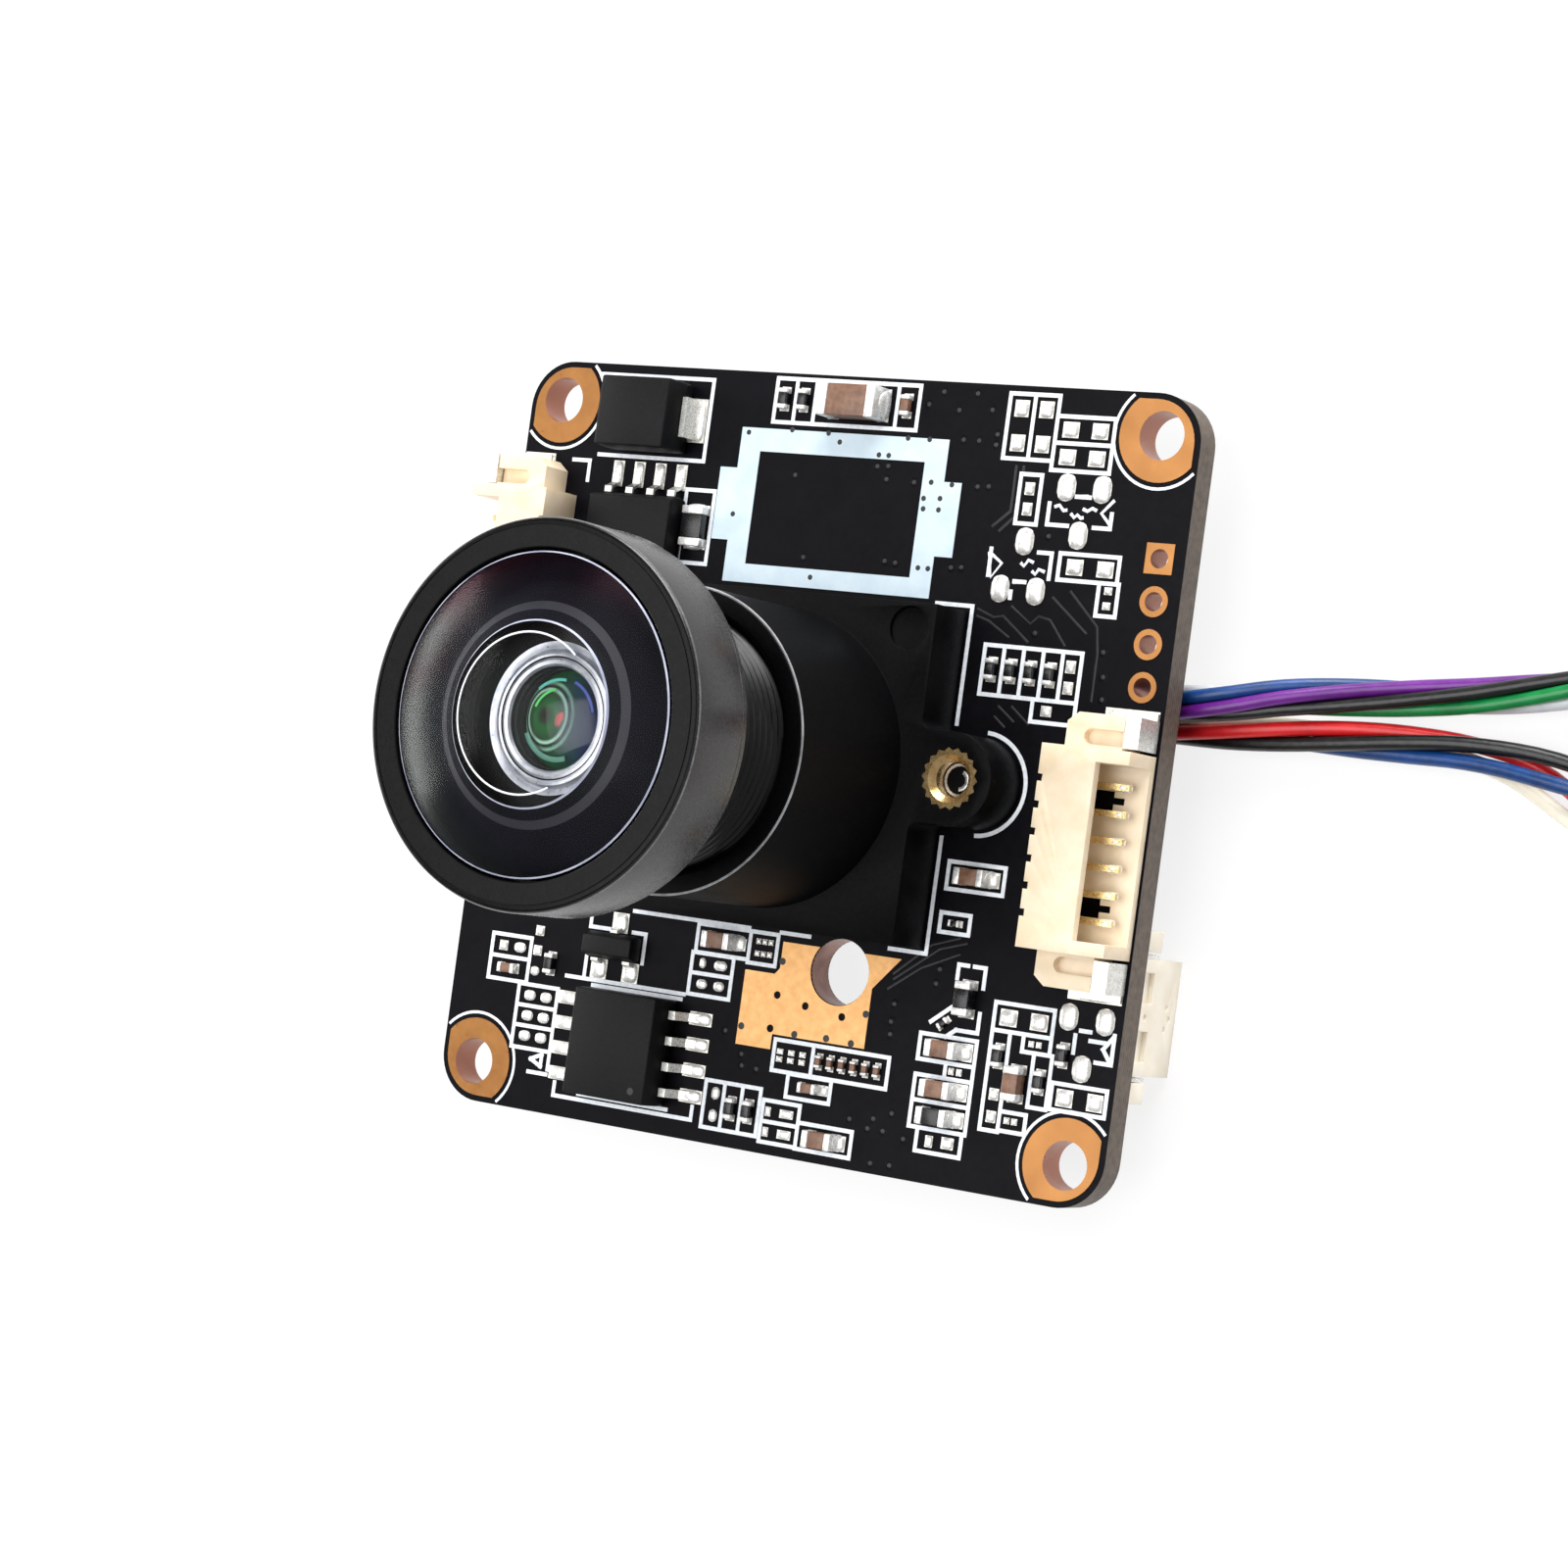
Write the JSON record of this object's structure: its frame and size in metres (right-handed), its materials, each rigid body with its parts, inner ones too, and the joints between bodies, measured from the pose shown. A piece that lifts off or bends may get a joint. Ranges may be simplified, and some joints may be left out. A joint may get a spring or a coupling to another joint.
{
  "type": "board camera module",
  "caption": "Square circuit board camera: a wide-angle screw-focus lens in an eared holder, sockets, surface-mount parts and two bundles of thin wires.",
  "frame": {"origin": "centre of the four mounting holes on the board's front face", "axes": "+Z along the lens axis, out of the lens; +Y towards the diode and white frame; +X towards the edge where the wires leave"},
  "size_m": [0.0921, 0.0556, 0.0309],
  "materials": {
    "fibreglass": "matt glass-fibre laminate",
    "solder_mask": "satin black solder mask",
    "copper_gold": "gold-plated copper",
    "tin": "reflowed tin",
    "white_ink": "matt white print",
    "black_nylon": "satin moulded black",
    "brass": "turned brass",
    "steel": "zinc-plated steel",
    "silicon": "sensor die in its package",
    "clear_glass": "clear glass",
    "filter_glass": "coated filter glass",
    "anodised": "satin black anodised aluminium",
    "barrel_black": "matt black anodised aluminium",
    "lens_glass": "coated optical glass",
    "cream_nylon": "cream moulded nylon",
    "pin_metal": "tin-brass pins",
    "epoxy": "black moulding compound",
    "capacitor_ceramic": "brown ceramic",
    "resistor_ceramic": "black glazed ceramic",
    "ferrite": "grey ferrite",
    "crystal_can": "nickel can",
    "wire_violet": "soft violet insulation",
    "wire_red": "soft red insulation"
  },
  "bodies": {
    "board": {"board_laminate": "fibreglass", "solder_mask": "solder_mask", "corner_rings": "copper_gold", "header_eyelets": "copper_gold", "ground_pad": "copper_gold", "solder_pads": "tin", "white_print": "white_ink", "frame_print": "white_ink", "lens_holder": "black_nylon", "threaded_inserts": "brass", "holder_screws": "steel", "image_sensor": "silicon", "sensor_glass": "clear_glass", "infrared_filter": "filter_glass", "front_socket_housing": "cream_nylon", "front_socket_pins": "pin_metal", "left_socket_housing": "cream_nylon", "left_socket_pins": "pin_metal", "tail_socket_housing": "cream_nylon", "tail_socket_pins": "pin_metal", "socket_nails": "tin", "tail_plug": "cream_nylon", "right_header_housing": "cream_nylon", "left_header_housing": "cream_nylon", "header_pin_rows": "tin", "diode_body": "epoxy", "diode_straps": "tin", "driver_chip": "epoxy", "flash_chip": "epoxy", "transistor": "epoxy", "gull_leads": "tin", "chip_capacitors": "capacitor_ceramic", "chip_resistors": "resistor_ceramic", "chip_ends": "tin", "main_processor": "epoxy", "crystal": "crystal_can", "power_inductors": "ferrite", "network_lead": "wire_violet", "network_coil": "wire_violet", "network_lead_end": "wire_violet", "network_plug": "cream_nylon", "power_lead": "wire_red", "power_coil": "wire_red", "power_lead_end": "wire_red", "power_plug": "cream_nylon"},
    "barrel": {"lens_barrel": "barrel_black", "second_element": "lens_glass", "cell_spacer": "barrel_black", "third_element": "lens_glass", "aperture_stop": "barrel_black", "rear_doublet": "lens_glass", "rear_element": "lens_glass", "rear_retainer": "barrel_black"},
    "head": {"lens_head": "anodised", "front_element": "lens_glass"}
  },
  "joints": [
    {"name": "lens_focus_travel", "type": "slide", "parent": "board", "child": "barrel", "axis": [0, 0, 1], "range_m": [-0.00025, 0.00025]},
    {"name": "lens_focus_turn", "type": "hinge", "parent": "barrel", "child": "head", "pos_m": [0, 0, 0.02], "axis": [0, 0, -1], "range_deg": [-180, 180]}
  ],
  "couplings": [
    {"joint": "lens_focus_turn", "follows": "lens_focus_travel", "rad_per_m": -12566}
  ]
}
